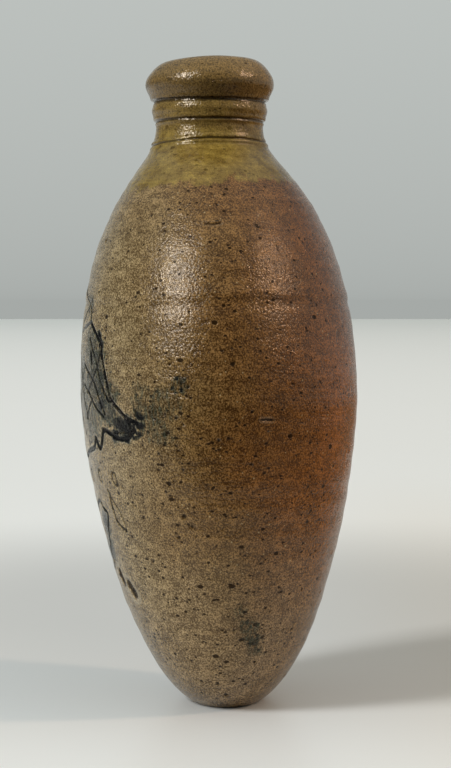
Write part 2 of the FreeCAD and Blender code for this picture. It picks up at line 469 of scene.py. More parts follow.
def ring_line(ring, place):
    """The height of a cut ring at a place round the neck."""
    angle = math.atan2(place.y - NECK_AXIS, place.x)
    around = Vector(
        (
            math.cos(angle) * WANDER_AROUND,
            math.sin(angle) * WANDER_AROUND,
            ring.rise * WANDER_BETWEEN_RINGS,
        )
    )
    level = NECK_HEIGHT + ring.rise + RING_WANDER * noise.noise(around)
    return level + ring.sway * math.cos(2 * angle) + ring.tilt * math.sin(angle)


def is_outside(place):
    """Whether a place is on the outer skin and not in the bore or the hollow."""
    if place.z > NECK_HEIGHT:
        return math.hypot(place.x, place.y - NECK_AXIS) > BORE_RADIUS + MOUTH_EDGE_RADIUS
    oval = girth(place.z)
    share = math.hypot(place.x / oval.half_width, (place.y - oval.middle) / oval.half_depth)
    return share > SKIN_SHARE


def hand_shift(place):
    """The slow wobble and the throwing ridges of the outer skin."""
    if not is_outside(place):
        return 0.0
    near_neck = ease((place.z - NECK_STILL_HEIGHT) / NECK_STILL_FADE)
    held = ease((place.z - FOOT_STILL_HEIGHT) / FOOT_STILL_FADE) * (1 - NECK_STILLNESS * near_neck)
    total = WOBBLE * noise.noise(place / WOBBLE_SIZE)
    drift = THROWING_DRIFT * noise.noise(Vector((0, 0, place.z / THROWING_DRIFT_LENGTH)))
    total += THROWING_RISE * math.sin(2 * math.pi * (place.z / THROWING_STEP + drift))
    around = Vector((place.x / RIDGE_SWAY_LENGTH, place.y / RIDGE_SWAY_LENGTH, 5.0))
    sway = RIDGE_SWAY * noise.noise(around)
    for height, rise, half_width in RIDGES:
        total += rise * math.exp(-(((place.z + sway - height) / half_width) ** 2))
    return total * held


def ring_shift(place):
    """The rings cut round the neck, and the hollow of the band between the lower two."""
    rise = place.z - NECK_HEIGHT
    if not RINGS_LOW < rise < RINGS_HIGH or not is_outside(place):
        return 0.0
    span = (rise - BAND_LOW) / (BAND_HIGH - BAND_LOW)
    total = 0.0
    if 0 < span < 1:
        total -= BAND_HOLLOW * math.sin(math.pi * span ** BAND_HOLLOW_LOWNESS)
    total += BEAD_BULGE * math.exp(-(((rise - BEAD_CREST) / BEAD_HALF_WIDTH) ** 2))
    for ring in NECK_RINGS:
        over = place.z - ring_line(ring, place)
        reach = abs(over) / ring.half_width
        if reach < 1:
            total -= ring.depth * (1 - reach ** 2)
        total += LIP_RISE * math.exp(-(((abs(over) - LIP_DISTANCE) / LIP_HALF_WIDTH) ** 2))
    return total


def crown_shift(place):
    """The crown of the collar sinks a little towards the decorated face."""
    side = (NECK_AXIS + CROWN_DIP_PLACE - place.y) / COLLAR_RADIUS
    return -CROWN_DIP * ease(side) * ease((place.z - CROWN_DIP_HEIGHT) / CROWN_DIP_FADE)


# The incised ornament of the decorated face, as (across, height) on its right half. The left
# half is its mirror image. Each cut has its points, half width, depth and share of blue.
Cut = namedtuple("Cut", "points half_width depth blue")

FLOWER_TOP = [
    (0.0, 0.1035), (0.008, 0.1085), (0.0148, 0.1105), (0.0211, 0.1117), (0.0250, 0.1127),
]
FLOWER_SIDE = [
    (0.0250, 0.1127), (0.0303, 0.1093), (0.0345, 0.1057), (0.0360, 0.1012), (0.0381, 0.0965),
    (0.0400, 0.0914), (0.0429, 0.0887), (0.0456, 0.0863), (0.0486, 0.0850),
]
FLOWER_SIDE_SHADE = [(0.0322, 0.1099), (0.0338, 0.1079), (0.0350, 0.1060)]
FLOWER_TEETH = [
    (0.0, 0.0725), (0.0050, 0.0775), (0.0103, 0.0734), (0.0195, 0.0755), (0.0256, 0.0768),
    (0.0277, 0.0796), (0.0296, 0.0771), (0.0313, 0.0776), (0.0345, 0.0822), (0.0382, 0.0813),
    (0.0403, 0.0804), (0.0443, 0.0803), (0.0463, 0.0818), (0.0476, 0.0830),
]
FLOWER_HEM = [
    (0.0343, 0.0828), (0.0390, 0.0819), (0.0430, 0.0822), (0.0451, 0.0824), (0.0464, 0.0834),
    (0.0463, 0.0849),
]
HATCHING = [
    [(0.0204, 0.1005), (0.0298, 0.0962), (0.0335, 0.0915), (0.0364, 0.0869)],
    [(0.0205, 0.0947), (0.0264, 0.0923), (0.0315, 0.0883), (0.0355, 0.0860)],
    [(0.0290, 0.0910), (0.0253, 0.0880), (0.0215, 0.0849)],
    [(0.0060, 0.1050), (0.0160, 0.0975), (0.0230, 0.0850)],
    [(0.0020, 0.0960), (0.0110, 0.0890), (0.0170, 0.0800)],
    [(0.0200, 0.0990), (0.0130, 0.0900), (0.0060, 0.0850)],
    [(0.0255, 0.1080), (0.0315, 0.1020), (0.0352, 0.0955), (0.0392, 0.0905)],
    [(0.0345, 0.1040), (0.0318, 0.0990), (0.0280, 0.0950), (0.0240, 0.0925)],
]
FLOWER_STAMEN = [(0.0274, 0.1041), (0.0281, 0.1027), (0.0285, 0.1010)]
TENDRILS = [
    [
        (0.0, 0.1240), (0.0090, 0.1222), (0.0173, 0.1189), (0.0216, 0.1172), (0.0239, 0.1155),
        (0.0250, 0.1128),
    ],
    [(0.0235, 0.1195), (0.0203, 0.1172), (0.0175, 0.1148), (0.0110, 0.1108), (0.0040, 0.1070)],
]
BUD = [(0.0, 0.1240), (0.0055, 0.1285), (0.0050, 0.1335), (0.0, 0.1385)]
STEM = [(0.0, 0.0725), (0.0012, 0.0600), (0.0004, 0.0450), (0.0, 0.0330)]
UPPER_LEAF_OUTSIDE = [
    (0.0290, 0.0648), (0.0304, 0.0625), (0.0321, 0.0608), (0.0333, 0.0592), (0.0340, 0.0568),
    (0.0341, 0.0536),
]
UPPER_LEAF_INSIDE = [
    (0.0290, 0.0648), (0.0296, 0.0605), (0.0298, 0.0580), (0.0306, 0.0555), (0.0341, 0.0536),
]
LOWER_LEAF = [
    (0.0004, 0.0450), (0.0070, 0.0560), (0.0173, 0.0608), (0.0207, 0.0588), (0.0238, 0.0574),
    (0.0201, 0.0530), (0.0173, 0.0492), (0.0137, 0.0450), (0.0129, 0.0416), (0.0060, 0.0400),
    (0.0004, 0.0430),
]
BERRIES = [(0.0256, 0.0686), (0.0350, 0.0685), (0.0150, 0.0680)]
BERRY_WIDTH = 0.0011
BERRY_HEIGHT = 0.0018
BROAD_CUTS = [
    Cut(FLOWER_TOP, 0.0005, 0.0004, 0.9),
    Cut(FLOWER_SIDE, 0.00055, 0.0005, 1.0),
    Cut(FLOWER_SIDE_SHADE, 0.0005, 0.0003, 1.0),
    Cut(FLOWER_TEETH, 0.00065, 0.0004, 1.1),
    Cut(FLOWER_HEM, 0.0004, 0.0003, 0.0),
    Cut(FLOWER_STAMEN, 0.0006, 0.0004, 1.2),
    Cut(BUD, 0.0005, 0.0004, 0.9),
    Cut(STEM, 0.0005, 0.0004, 0.9),
    Cut(LOWER_LEAF, 0.00055, 0.0004, 0.9),
    Cut(UPPER_LEAF_OUTSIDE, 0.0004, 0.0003, 0.25),
    Cut(UPPER_LEAF_INSIDE, 0.0005, 0.0003, 0.35),
]
FINE_HALF_WIDTH = 0.00042
FINE_DEPTH = 0.0003
HATCHING_BLUE = 0.85
TENDRIL_BLUE = 0.8
BERRY_BLUE = 0.2

# How a cut shows: the depth at which its bottom is darkest, how far its burr reaches in half widths
# of the cut, how high the burr stands, and how far the cut and its burr are dark and pale
DEEP_CUT = 0.0005
BURR_REACH = 2
BURR_SHARE = 0.16
DARK_SHARE = 2.0
PALE_REACH = 2.2

# How far blue reaches from a cut and from a brushed spot, and how ragged its edge is: share, and
# length in metres
CUT_BLUE_REACH = 1.5
CUT_BLUE_FADE = 0.85
SPOT_BLUE_REACH = 1.6
RAGGED_EDGE = [(0.45, 1 / 900), (0.25, 1 / 300)]

# Blue brushed over the cuts: (across, height, radius, strength)
BRUSHED = [
    (0.0455, 0.0840, 0.0026, 1.0), (0.0497, 0.0868, 0.0010, 1.2), (0.0493, 0.0843, 0.0010, 1.2),
    (0.0485, 0.0821, 0.0007, 1.0), (0.0472, 0.0808, 0.0007, 1.0), (0.0425, 0.0842, 0.0022, 0.9),
    (0.0400, 0.0812, 0.0018, 0.9), (0.0440, 0.0806, 0.0014, 0.9), (0.0342, 0.1062, 0.0012, 0.9),
    (0.0328, 0.1090, 0.0010, 0.9), (0.0281, 0.1027, 0.0009, 1.2), (0.0350, 0.0900, 0.0022, 0.75),
    (0.0370, 0.0900, 0.0060, 0.50), (0.0310, 0.0970, 0.0080, 0.50), (0.0270, 0.1050, 0.0060, 0.42),
    (0.0250, 0.0860, 0.0080, 0.40), (0.0150, 0.0950, 0.0090, 0.42), (0.0060, 0.0860, 0.0080, 0.45),
    (0.0180, 0.0540, 0.0040, 0.62), (0.0160, 0.0470, 0.0040, 0.60), (0.0100, 0.0450, 0.0030, 0.60),
    (0.0150, 0.0700, 0.0030, 0.30), (0.0230, 0.0710, 0.0030, 0.25), (0.0010, 0.1310, 0.0035, 0.6),
    (0.0210, 0.1175, 0.0030, 0.40), (0.0, 0.0660, 0.0018, 0.6),
]

# Two finger dents low on the decorated face, as (across, height), and two scratches of the narrow
# side, as (Y, height)
GOUGES = [
    [(0.0189, 0.0395), (0.0195, 0.0378)],
    [(0.0243, 0.0370), (0.0255, 0.0348)],
]
GOUGE_HALF_WIDTH = 0.0019
GOUGE_DEPTH = 0.0006
SCRATCHES = [
    [(-0.0059, 0.1401), (-0.0036, 0.1399), (-0.0017, 0.1402)],
    [(0.0097, 0.0863), (0.0125, 0.0862)],
]
SCRATCH_HALF_WIDTH = 0.0005
SCRATCH_DEPTH = 0.0003

# Stray blue of the narrow side: (Y, height, radius, strength)
STRAY_BLUE = [
    (-0.0147, 0.0950, 0.0005, 0.8), (-0.0134, 0.0977, 0.0005, 0.8), (-0.0123, 0.0964, 0.0005, 0.75),
    (-0.0123, 0.0945, 0.0006, 0.8), (-0.0106, 0.0953, 0.0005, 0.8), (-0.0136, 0.0937, 0.0004, 0.8),
    (-0.0114, 0.0974, 0.0004, 0.7), (-0.0125, 0.0960, 0.0024, 0.30),
    (-0.0170, 0.0905, 0.0045, 0.30), (-0.0215, 0.0870, 0.0048, 0.34),
    (-0.0180, 0.0830, 0.0038, 0.28), (-0.0230, 0.0920, 0.0040, 0.27),
    (0.0040, 0.0320, 0.0024, 0.25), (0.0062, 0.0275, 0.0026, 0.42), (0.0072, 0.0235, 0.0024, 0.42),
    (0.0084, 0.0195, 0.0022, 0.30),
]

# Iron pits that show on the narrow side: (Y, height, radius)
SIDE_PITS = [
    (-0.0212, 0.0759, 0.00045), (-0.0185, 0.0768, 0.0006), (-0.0156, 0.0682, 0.0006),
    (-0.0118, 0.0725, 0.0005), (-0.0174, 0.0698, 0.00045), (-0.0115, 0.0595, 0.0009),
    (-0.0155, 0.0600, 0.00045), (-0.0094, 0.0566, 0.0007), (-0.0131, 0.0533, 0.0007),
    (-0.0083, 0.0539, 0.0005), (-0.0205, 0.0457, 0.0006), (-0.0240, 0.0598, 0.0005),
    (-0.0255, 0.0614, 0.0005), (-0.0294, 0.0664, 0.0005), (-0.0305, 0.0671, 0.0005),
    (-0.0233, 0.1071, 0.0005), (-0.0223, 0.1063, 0.0005), (-0.0251, 0.1008, 0.0005),
    (-0.0153, 0.1015, 0.0005), (0.0018, 0.1016, 0.0009), (0.0016, 0.1059, 0.0006),
    (-0.0001, 0.0053, 0.0009), (-0.0195, 0.0864, 0.0006), (-0.0178, 0.0842, 0.0006),
    (-0.0159, 0.0827, 0.0007), (-0.0117, 0.0850, 0.0005), (-0.0167, 0.0879, 0.0005),
    (-0.0209, 0.0883, 0.0006), (-0.0137, 0.0868, 0.0006), (-0.0137, 0.0791, 0.0005),
    (-0.0196, 0.0833, 0.0005), (-0.0249, 0.0859, 0.0006),
]
PIT_DEPTH = 0.0003

# More pits all over the body: how many, their radii, the heights between which they lie, and how
# their number thins out upwards
SCATTERED_PITS = 90
PIT_SEED = 11
PIT_RADII = (0.00035, 0.00075)
PIT_HEIGHTS = (0.006, 0.150)
PIT_CHANCE_LOW = 1.1
PIT_THINNING = 0.2


def scattered_pits():
    """More iron pits all over the body, more of them low down, as (point, radius)."""
    chance = random.Random(PIT_SEED)
    pits = []
    while len(pits) < SCATTERED_PITS:
        height = chance.uniform(*PIT_HEIGHTS)
        if chance.random() > PIT_CHANCE_LOW - height / PIT_THINNING:
            continue
        angle = chance.uniform(-math.pi, math.pi)
        oval = girth(height)
        point = Vector(
            (oval.half_width * math.cos(angle), oval.middle + oval.half_depth * math.sin(angle), height)
        )
        pits.append((point, chance.uniform(*PIT_RADII)))
    return pits


def marks():
    """All cuts, scratches and pits as lines of points on the surface, with their tools."""
    fine = [(points, HATCHING_BLUE) for points in HATCHING]
    fine += [(points, TENDRIL_BLUE) for points in TENDRILS]
    for across, height in BERRIES:
        turn = [math.radians(angle) for angle in range(0, 361, 45)]
        berry = [(across + BERRY_WIDTH * math.cos(a), height + BERRY_HEIGHT * math.sin(a)) for a in turn]
        fine.append((berry, BERRY_BLUE))
    cuts = BROAD_CUTS + [Cut(points, FINE_HALF_WIDTH, FINE_DEPTH, blue) for points, blue in fine]
    placed = []
    for cut in cuts:
        for side in (1, -1):
            line = [on_front(side * across, height) for across, height in smooth_line(cut.points)]
            placed.append(cut._replace(points=line))
    for points in GOUGES:
        line = [on_front(across, height) for across, height in smooth_line(points)]
        placed.append(Cut(line, GOUGE_HALF_WIDTH, GOUGE_DEPTH, 0.0))
    for points in SCRATCHES:
        line = [on_side(deep, height) for deep, height in smooth_line(points)]
        placed.append(Cut(line, SCRATCH_HALF_WIDTH, SCRATCH_DEPTH, 0.0))
    for deep, height, radius in SIDE_PITS:
        placed.append(Cut([on_side(deep, height)], radius, PIT_DEPTH, 0.0))
    for point, radius in scattered_pits():
        placed.append(Cut([point], radius, PIT_DEPTH, 0.0))
    return placed


def nearest(lines):
    """A search tree over lines of points, and each point's line."""
    owners = [(point, number) for number, line in enumerate(lines) for point in line]
    tree = KDTree(len(owners))
    for place, (point, number) in enumerate(owners):
        tree.insert(point, place)
    tree.balance()
    return tree, [number for point, number in owners]


OUTSIDE = underside_rings()[len(FOOT_SHARES) - 1:] + body_rings()
piece = thrown("flask_skin", underside_rings() + body_rings() + neck_rings() + hollow_rings())
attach(piece, "root")
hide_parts("flask")

CUTS = marks()
SEARCH, OWNERS = nearest([cut.points for cut in CUTS])


def beside_cut(place):
    """The nearest cut, and the distance to it in its half widths."""
    number, distance = SEARCH.find(place)[1:]
    cut = CUTS[OWNERS[number]]
    return cut, distance / cut.half_width


# How far the finer mesh reaches past a mark and past a ring of the neck, how often its faces are
# divided, and the largest stray spot of blue that needs it
MARK_MARGIN = 0.0009
RING_MARGIN = 0.0002
MARK_DIVISIONS = 3
RING_DIVISIONS = 1
SMALL_SPOT = 0.0010

# The most that each push moves the surface
HAND_LIMIT = 0.0005
RING_LIMIT = 0.0008
CUT_LIMIT = 0.0006


def is_marked(place):
    """Whether a place is close to a cut or a pit, or to a small spot of stray blue."""
    cut, reach = beside_cut(place)
    if (reach - 1) * cut.half_width < MARK_MARGIN:
        return True
    return place.x > 0 and any(
        radius < SMALL_SPOT and math.dist((place.y, place.z), (deep, height)) < radius + MARK_MARGIN
        for deep, height, radius, strength in STRAY_BLUE
    )


def is_ringed(place):
    """Whether a place is close to a ring cut round the neck."""
    if not is_outside(place):
        return False
    return any(
        abs(place.z - ring_line(ring, place)) < ring.half_width + RING_MARGIN for ring in NECK_RINGS
    )


def cut_shift(place):
    """Cuts go in, and their clay stands up in a small burr beside them."""
    cut, reach = beside_cut(place)
    if reach < 1:
        return -cut.depth * (1 - reach ** 2)
    if reach < BURR_REACH:
        return BURR_SHARE * cut.depth * math.sin(math.pi * (reach - 1) / (BURR_REACH - 1))
    return 0.0


def cut_share(place):
    """From 1 in the bottom of a cut to 0 at its edge, and below 0 on its burr."""
    cut, reach = beside_cut(place)
    fullness = cut.depth / DEEP_CUT
    if reach < 1:
        return min(1.0, DARK_SHARE * fullness * (1 - reach ** 2))
    if reach < PALE_REACH and len(cut.points) > 1:
        return -fullness * math.sin(math.pi * (reach - 1) / (PALE_REACH - 1))
    return 0.0


def blue_share(place):
    """How much cobalt lies on a place: in the cuts, brushed over them, and as stray spots."""
    cut, reach = beside_cut(place)
    total = cut.blue * ease(CUT_BLUE_REACH - CUT_BLUE_FADE * reach)
    ragged = 1 + sum(share * noise.noise(place / length) for share, length in RAGGED_EDGE)
    if place.y < 0:
        for across, height, radius, strength in BRUSHED:
            reach = math.dist((abs(place.x), place.z), (across, height)) / (radius * ragged)
            total = max(total, strength * ease(SPOT_BLUE_REACH - reach))
    if place.x > 0:
        for deep, height, radius, strength in STRAY_BLUE:
            reach = math.dist((place.y, place.z), (deep, height)) / (radius * ragged)
            total = max(total, strength * ease(SPOT_BLUE_REACH - reach))
    return total


def ring_share(place):
    """The dark glaze that pooled in the rings round the neck."""
    if not RINGS_LOW < place.z - NECK_HEIGHT < RINGS_HIGH or not is_outside(place):
        return 0.0
    reaches = [abs(place.z - ring_line(ring, place)) / ring.half_width for ring in NECK_RINGS]
    return ease(POOL_REACH - min(reaches))


push(piece, hand_shift, HAND_LIMIT)
push(piece, crown_shift, CROWN_DIP, "Z")
refine(piece, is_marked, MARK_DIVISIONS)
refine(piece, is_ringed, RING_DIVISIONS)
push(piece, ring_shift, RING_LIMIT)
push(piece, cut_shift, CUT_LIMIT)
paint(piece, "cobalt", blue_share)
paint(piece, "cut", cut_share)
paint(piece, "ring", ring_share)


def linear(colour):
    """An sRGB colour, written as hex digits, as linear red, green, blue and full cover."""
    channels = []
    for start in (0, 2, 4):
        value = int(colour[start:start + 2], 16) / 255
        channels.append(value / 12.92 if value <= 0.04045 else ((value + 0.055) / 1.055) ** 2.4)
    return (*channels, 1.0)


TIMES = {"operation": "MULTIPLY"}
PLUS = {"operation": "ADD"}
LESS = {"operation": "SUBTRACT"}
SOFT = {"interpolation_type": "SMOOTHSTEP"}
COLOURS = {"data_type": "RGBA"}


def add(tree, kind, settings, inputs, out=0, stops=()):
    """Adds a node with its settings, its inputs as values or sockets, and a ramp's colour stops,
    and gives back one of its outputs."""
    node = tree.nodes.new("ShaderNode" + kind)
    for name, value in settings.items():
        setattr(node, name, value)
    for name, value in inputs.items():
        if isinstance(value, bpy.types.NodeSocket):
            tree.links.new(value, node.inputs[name])
        else:
            node.inputs[name].default_value = value
    for number, (place, colour) in enumerate(stops):
        if number > 1:
            node.color_ramp.elements.new(1.0)
        node.color_ramp.elements[number].position = place
        node.color_ramp.elements[number].color = linear(colour)
    return node.outputs[out]


# Sizes and spacings of the patterns in millimetres. The clay's own grain is finer than the mottle,
# which is drawn as fine as still shows at the photograph's size. The rest have their real size.
MOTTLE_SIZE = 0.46
BLOTCH_SIZE = 2.6
STREAK_SIZE = 0.8
BROAD_SIZE = 28.0
GRIT_SPACING = 1.5
RUN_SIZE = 4.0
LARGE_PIT_SPACING = 3.6
SMALL_PIT_SPACING = 1.5
BRUSH_SIZE = 0.7
PEEL_SIZE = 0.7

# Clay from the decorated face to the plain one, and where it is bare, burnt or cut
CLAY = [(0.0, "7E6D4C"), (0.38, "6B532F"), (0.65, "664723"), (1.0, "70451D")]
PALE_CLAY = "7D6A4C"
FLASH_ORANGE = "844F26"
GRIT_COLOUR = "B39C72"
IRON = "231506"
CUT_CLAY = "1A1109"
BURR_CLAY = "A39A84"
# How the grain darkens and lightens the clay, in linear red, green and blue
DARK_GRAIN = (0.36, 0.28, 0.15, 1.0)
PALE_GRAIN = (2.20, 2.25, 2.45, 1.0)

# Pooled glaze of the neck, the collar's brown, and cobalt where it is thin and thick
OLIVE = [(0.0, "6A531F"), (1.0, "867034")]
COLLAR_BROWN = "745C34"
# Painted shade for the underside of the collar's overhang
COLLAR_SHADE = "2E1F0B"
RING_SHADE = "241706"
THIN_COBALT = "31352A"
THICK_COBALT = "07090D"
GLAZE_TINT = "FFEDD7"


def stoneware():
    """Salt-glazed stoneware: iron-bearing clay fired in salt vapour, which leaves a thin uneven skin
    of glass. The eye sees a fine tan and brown mottle, dark iron pits, pale grit, an orange-peel
    gloss that breaks each highlight up, pooled olive glaze around the neck, an orange flash where
    the flame struck, and cobalt blue that has run grey and black in the cuts."""
    material = bpy.data.materials.new("salt_glazed_stoneware")
    material.use_nodes = True
    tree = material.node_tree
    tree.nodes.clear()

    # The place on the flask in millimetres
    from_object = add(tree, "TexCoord", {}, {}, "Object")
    place = add(tree, "VectorMath", {"operation": "SCALE"}, {0: from_object, "Scale": 1000.0})
    deep = add(tree, "SeparateXYZ", {}, {0: place}, 1)
    height = deep.node.outputs[2]
    drawn = add(tree, "VectorMath", TIMES, {0: place, 1: (0.7, 0.7, 1.0)})
    thrown_way = add(tree, "VectorMath", TIMES, {0: place, 1: (0.07, 0.07, 1.0)})
    runny = add(tree, "VectorMath", TIMES, {0: place, 1: (1.0, 1.0, 0.22)})

    # Grain: a mottle of about half a millimetre, soft blotches, and lines drawn round by throwing
    mottle = add(
        tree, "TexNoise", {},
        {"Vector": place, "Scale": 1 / MOTTLE_SIZE, "Detail": 2.0, "Roughness": 0.7},
    )
    blotch = add(
        tree, "TexNoise", {},
        {"Vector": drawn, "Scale": 1 / BLOTCH_SIZE, "Detail": 3.0, "Roughness": 0.6},
    )
    streak = add(
        tree, "TexNoise", {},
        {"Vector": thrown_way, "Scale": 1 / STREAK_SIZE, "Detail": 3.0, "Roughness": 0.6},
    )
    broad = add(tree, "TexNoise", {}, {"Vector": place, "Scale": 1 / BROAD_SIZE, "Detail": 3.0})
    grain = add(tree, "Math", TIMES, {0: mottle, 1: 0.68})
    grain = add(tree, "Math", {"operation": "MULTIPLY_ADD"}, {0: blotch, 1: 0.22, 2: grain})
    grain = add(tree, "Math", {"operation": "MULTIPLY_ADD"}, {0: streak, 1: 0.10, 2: grain})

    # Clay colour: tan towards the decorated face, brown and then red-brown towards the plain one,
    # less so low down, where it is also paler
    warmth = add(tree, "Math", {"operation": "MULTIPLY_ADD"}, {0: broad, 1: 30.0, 2: deep})
    cooler = add(tree, "MapRange", SOFT, {0: height, 1: 72.0, 2: 24.0, 3: 0.0, 4: -9.0})
    warmth = add(tree, "Math", PLUS, {0: warmth, 1: cooler})
    warmth = add(tree, "MapRange", {}, {0: warmth, 1: -20.0, 2: 40.0})
    clay = add(tree, "ValToRGB", {}, {"Fac": warmth}, stops=CLAY)
    paler = add(tree, "MapRange", SOFT, {0: height, 1: 62.0, 2: 6.0, 3: 0.0, 4: 0.62})
    clay = add(tree, "Mix", COLOURS, {0: paler, 6: clay, 7: linear(PALE_CLAY)}, 2)

    # Orange flash where the flame struck the plain face's edge
    squashed = add(tree, "VectorMath", TIMES, {0: place, 1: (0.9, 1.0, 0.62)})
    flash = add(
        tree, "VectorMath", {"operation": "DISTANCE"}, {0: squashed, 1: (22.0, 40.0, 52.0)}, "Value"
    )
    flash = add(tree, "Math", {"operation": "MULTIPLY_ADD"}, {0: broad, 1: 16.0, 2: flash})
    flash = add(tree, "MapRange", SOFT, {0: flash, 1: 12.0, 2: 34.0, 3: 0.8, 4: 0.0})
    clay = add(tree, "Mix", COLOURS, {0: flash, 6: clay, 7: linear(FLASH_ORANGE)}, 2)

    # The grain darkens and lightens the clay
    shade = add(tree, "MapRange", {}, {0: grain, 1: 0.42, 2: 0.60})
    shade = add(tree, "Math", {"operation": "POWER"}, {0: shade, 1: 1.4})
    shade = add(tree, "Mix", COLOURS, {0: shade, 6: DARK_GRAIN, 7: PALE_GRAIN}, 2)
    colour = add(tree, "VectorMath", TIMES, {0: clay, 1: shade})

    # Pale grit, with grains of different sizes
    grit_cells = add(tree, "TexVoronoi", {}, {"Vector": place, "Scale": 1 / GRIT_SPACING}, "Distance")
    grit_size = add(tree, "SeparateColor", {}, {0: grit_cells.node.outputs["Color"]}, 1)
    grit_size = add(tree, "MapRange", {}, {0: grit_size, 1: 0.50, 2: 1.0, 3: 0.0, 4: 0.21})
    grit = add(tree, "Math", LESS, {0: grit_size, 1: grit_cells})
    grit = add(tree, "MapRange", SOFT, {0: grit, 1: 0.0, 2: 0.06, 3: 0.0, 4: 0.75})
    colour = add(tree, "Mix", COLOURS, {0: grit, 6: colour, 7: linear(GRIT_COLOUR)}, 2)

    # Olive glaze that pooled around the neck and ran down to a ragged edge
    ragged = add(
        tree, "TexNoise", {},
        {"Vector": runny, "Scale": 1 / RUN_SIZE, "Detail": 4.0, "Roughness": 0.65},
    )
    edge = add(tree, "Math", {"operation": "MULTIPLY_ADD"}, {0: ragged, 1: 11.0, 2: height})
    edge = add(tree, "Math", {"operation": "MULTIPLY_ADD"}, {0: deep, 1: -0.07, 2: edge})
    pooled = add(tree, "MapRange", SOFT, {0: edge, 1: 157.0, 2: 159.0})
    olive = add(tree, "Math", {"operation": "MULTIPLY_ADD"}, {0: streak, 1: 0.35, 2: blotch})
    olive = add(tree, "MapRange", {}, {0: olive, 1: 0.50, 2: 0.85})
    olive = add(tree, "ValToRGB", {}, {"Fac": olive}, stops=OLIVE)
    tint = add(tree, "MapRange", {}, {0: grain, 1: 0.38, 2: 0.62, 3: 0.62, 4: 1.38})
    olive = add(tree, "VectorMath", {"operation": "SCALE"}, {0: olive, "Scale": tint})
    colour = add(tree, "Mix", COLOURS, {0: pooled, 6: colour, 7: olive}, 2)

    # The collar: speckled brown, painted paler towards the plain face as painted fill light, and darker
    # at its lower edge as painted shade under its overhang. The band below it takes some of its brown,
    # and the cut rings hold dark glaze.
    ring = add(tree, "Attribute", {"attribute_name": "ring"}, {}, "Fac")
    collar = add(tree, "MapRange", SOFT, {0: height, 1: 176.4, 2: 178.4})
    band = add(tree, "MapRange", SOFT, {0: height, 1: 165.0, 2: 171.0, 3: 0.0, 4: 0.6})
    speckle = add(tree, "MapRange", {}, {0: grain, 1: 0.40, 2: 0.58, 3: 0.35, 4: 1.40})
    # Painted fill light: the collar's brown, and the band's share of it, is painted paler towards the
    # plain face
    collar_fill_light = add(tree, "MapRange", SOFT, {0: deep, 1: -4.0, 2: 12.0, 3: 1.0, 4: 1.40})
    speckle = add(tree, "Math", TIMES, {0: speckle, 1: collar_fill_light})
    brown = linear(COLLAR_BROWN)[:3]
    brown = add(tree, "VectorMath", {"operation": "SCALE"}, {0: brown, "Scale": speckle})
    colour = add(tree, "Mix", COLOURS, {0: band, 6: colour, 7: brown}, 2)
    colour = add(tree, "Mix", COLOURS, {0: collar, 6: colour, 7: brown}, 2)
    # Painted shade: the collar's lower edge, under its overhang, is painted dark
    collar_underside_shade = add(tree, "MapRange", SOFT, {0: height, 1: 183.0, 2: 182.2, 3: 0.0, 4: 0.25})
    collar_underside_shade = add(tree, "Math", TIMES, {0: collar_underside_shade, 1: collar})
    colour = add(tree, "Mix", COLOURS, {0: collar_underside_shade, 6: colour, 7: linear(COLLAR_SHADE)}, 2)
    ring_dark = add(tree, "Math", TIMES, {0: ring, 1: 0.72})
    colour = add(tree, "Mix", COLOURS, {0: ring_dark, 6: colour, 7: linear(RING_SHADE)}, 2)

    # Iron pits: a few large ones and many small ones, fewer high up and more where cobalt lies
    lower = add(tree, "MapRange", SOFT, {0: height, 1: 132.0, 2: 72.0, 3: 0.55, 4: 0.0})
    cobalt = add(tree, "Attribute", {"attribute_name": "cobalt"}, {}, "Fac")
    large = add(tree, "TexVoronoi", {}, {"Vector": drawn, "Scale": 1 / LARGE_PIT_SPACING}, "Distance")
    large_size = add(tree, "SeparateColor", {}, {0: large.node.outputs["Color"]}, 0)
    large_size = add(tree, "MapRange", {}, {0: large_size, 1: lower, 2: 1.0, 3: 0.0, 4: 0.21})
    large_size = add(tree, "Math", {"operation": "MULTIPLY_ADD"}, {0: cobalt, 1: 0.30, 2: large_size})
    large_pit = add(tree, "Math", LESS, {0: large_size, 1: large})
    large_pit = add(tree, "MapRange", SOFT, {0: large_pit, 1: 0.0, 2: 0.04})
    small = add(tree, "TexVoronoi", {}, {"Vector": drawn, "Scale": 1 / SMALL_PIT_SPACING}, "Distance")
    small_size = add(tree, "SeparateColor", {}, {0: small.node.outputs["Color"]}, 0)
    few = add(tree, "MapRange", SOFT, {0: height, 1: 125.0, 2: 65.0, 3: 0.30, 4: 0.0})
    small_size = add(tree, "MapRange", {}, {0: small_size, 1: few, 2: 1.0, 3: 0.0, 4: 0.30})
    small_size = add(tree, "Math", {"operation": "MULTIPLY_ADD"}, {0: cobalt, 1: 0.35, 2: small_size})
    small_pit = add(tree, "Math", LESS, {0: small_size, 1: small})
    small_pit = add(tree, "MapRange", SOFT, {0: small_pit, 1: 0.0, 2: 0.06})
    pits = add(tree, "Math", {"operation": "MAXIMUM"}, {0: large_pit, 1: small_pit})
    pit_cover = add(tree, "MapRange", {}, {0: pooled, 1: 0.0, 2: 1.0, 3: 0.95, 4: 0.5})
    pit_cover = add(tree, "Math", TIMES, {0: pits, 1: pit_cover})
    colour = add(tree, "Mix", COLOURS, {0: pit_cover, 6: colour, 7: linear(IRON)}, 2)

